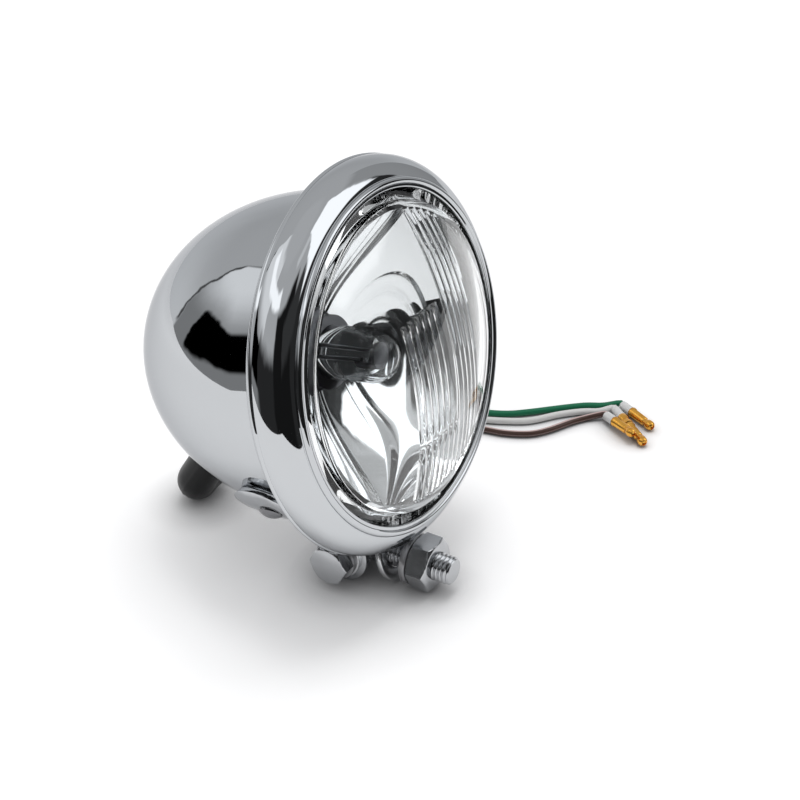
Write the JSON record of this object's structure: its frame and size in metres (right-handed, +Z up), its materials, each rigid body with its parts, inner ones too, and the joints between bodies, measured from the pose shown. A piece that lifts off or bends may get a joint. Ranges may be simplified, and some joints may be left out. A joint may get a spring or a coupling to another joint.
{
  "type": "round motorcycle headlight",
  "caption": "Round chrome motorcycle headlight with a fluted glass lens, a riveted swivel bracket with a threaded mounting stud, and a rubber-booted wire outlet with bullet terminals.",
  "frame": {"origin": "on the ground, below the middle of the lamp's and bracket's bounding box, with the free wires left out", "axes": "-Y the way the mounting stud points, which is roughly the way the lamp shines; +Z up as it rests; X along the pivot bolt, with its head at -X and its nut at +X"},
  "size_m": [0.2097, 0.1335, 0.1479],
  "materials": {
    "chrome_shell": "polished",
    "chrome_ring": "polished",
    "bright_steel": "satin",
    "lens_glass": "pressed, fluted inside",
    "gasket_rubber": "matte",
    "mirror_coat": "bright",
    "bulb_glass": "clear",
    "bulb_metal": "plain",
    "socket_plastic": "moulded",
    "boot_rubber": "satin",
    "chrome_saddle": "polished",
    "rivet_steel": "dull grey",
    "bolt_steel": "plated",
    "lock_washer_steel": "dull plated",
    "stud_steel": "plated",
    "green_wire": "PVC insulation",
    "white_wire": "PVC insulation",
    "brown_wire": "PVC insulation",
    "inner_wire": "PVC insulation",
    "clear_sleeve": "translucent",
    "terminal_brass": "bright"
  },
  "bodies": {
    "lamp": {"shell": "chrome_shell", "trim_ring": "chrome_ring", "ring_screw": "bright_steel", "ring_nut": "bright_steel", "retaining_clips": "bright_steel", "bulb_clip": "bright_steel", "lens": "lens_glass", "lens_gasket": "gasket_rubber", "dust_cap": "gasket_rubber", "reflector": "mirror_coat", "bulb_glass": "bulb_glass", "bulb_shield": "bulb_metal", "bulb_base": "bulb_metal", "bulb_socket": "socket_plastic", "wire_boot": "boot_rubber", "saddle": "chrome_saddle", "rivets": "rivet_steel", "pivot_bolt": "bolt_steel", "pivot_nut": "bolt_steel", "pivot_washer_head": "bolt_steel", "pivot_washer_nut": "bolt_steel", "pivot_lock_washer": "lock_washer_steel", "wire_green": "green_wire", "wire_white": "white_wire", "wire_brown": "brown_wire", "inner_leads": "inner_wire", "sleeve_green": "clear_sleeve", "sleeve_white": "clear_sleeve", "sleeve_brown": "clear_sleeve", "bullet_green": "terminal_brass", "bullet_white": "terminal_brass", "bullet_brown": "terminal_brass"},
    "mount": {"mounting_stud": "stud_steel", "stud_washer": "stud_steel", "stud_lock_washer": "lock_washer_steel", "stud_nut": "stud_steel"}
  },
  "joints": [
    {"name": "aim_swivel", "type": "hinge", "parent": "lamp", "child": "mount", "pos_m": [0, -0.02071, 0.01], "axis": [1, 0, 0], "range_deg": [-1, 170]}
  ]
}
